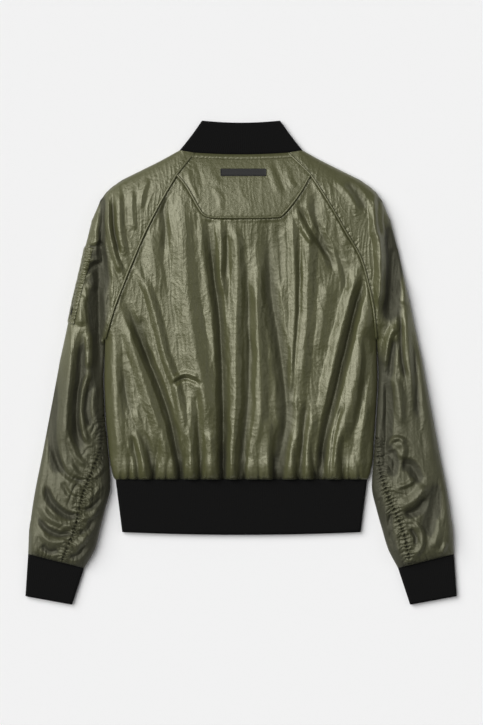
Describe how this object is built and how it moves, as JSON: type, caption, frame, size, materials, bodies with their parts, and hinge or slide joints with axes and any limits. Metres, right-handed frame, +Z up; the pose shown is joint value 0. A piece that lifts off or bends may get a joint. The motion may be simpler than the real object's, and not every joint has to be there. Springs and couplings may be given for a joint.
{
  "type": "bomber jacket",
  "caption": "Light nylon bomber jacket lying flat, back upward, with ribbed collar, hem and cuffs, raglan sleeves, a small yoke, a sleeve pocket and a front zip.",
  "frame": {"origin": "centre of the jacket's outline on the surface that it lies on", "axes": "+Z up out of the jacket's back, +Y from hem to collar, -X toward the wearer's left sleeve"},
  "size_m": [0.7354, 0.8246, 0.0413],
  "materials": {
    "nylon": "thin glossy olive nylon, crinkled, with a soft sheen",
    "knit": "fine black rib knit, matte",
    "label": "dark moulded patch, bare, satin",
    "zip_tape": "black woven tape, matte",
    "zip_teeth": "black moulded teeth, satin",
    "zip_metal": "black enamelled metal, semi-gloss"
  },
  "bodies": {
    "jacket": {"back_panel": "nylon", "back_yoke": "nylon", "neck_band": "nylon", "front_left": "nylon", "front_right": "nylon", "sleeve_back_left": "nylon", "sleeve_back_right": "nylon", "sleeve_front_left": "nylon", "sleeve_front_right": "nylon", "undersleeve_left": "nylon", "undersleeve_right": "nylon", "yoke_piping": "nylon", "raglan_piping_left": "nylon", "raglan_piping_right": "nylon", "sleeve_pocket": "nylon", "pocket_placket": "nylon", "collar": "knit", "hem_rib": "knit", "cuff_left": "knit", "cuff_right": "knit", "label": "label", "zip_tape_left": "zip_tape", "zip_tape_right": "zip_tape", "pocket_pull": "zip_tape", "zip_chain": "zip_teeth", "zip_slider": "zip_metal"},
    "pull": {"zip_pull": "zip_metal"}
  },
  "joints": [
    {"name": "zip_pull_hinge", "type": "hinge", "parent": "jacket", "child": "pull", "pos_m": [0, 0.377, 0.0012], "axis": [1, 0, 0], "range_deg": [0, 175]}
  ]
}
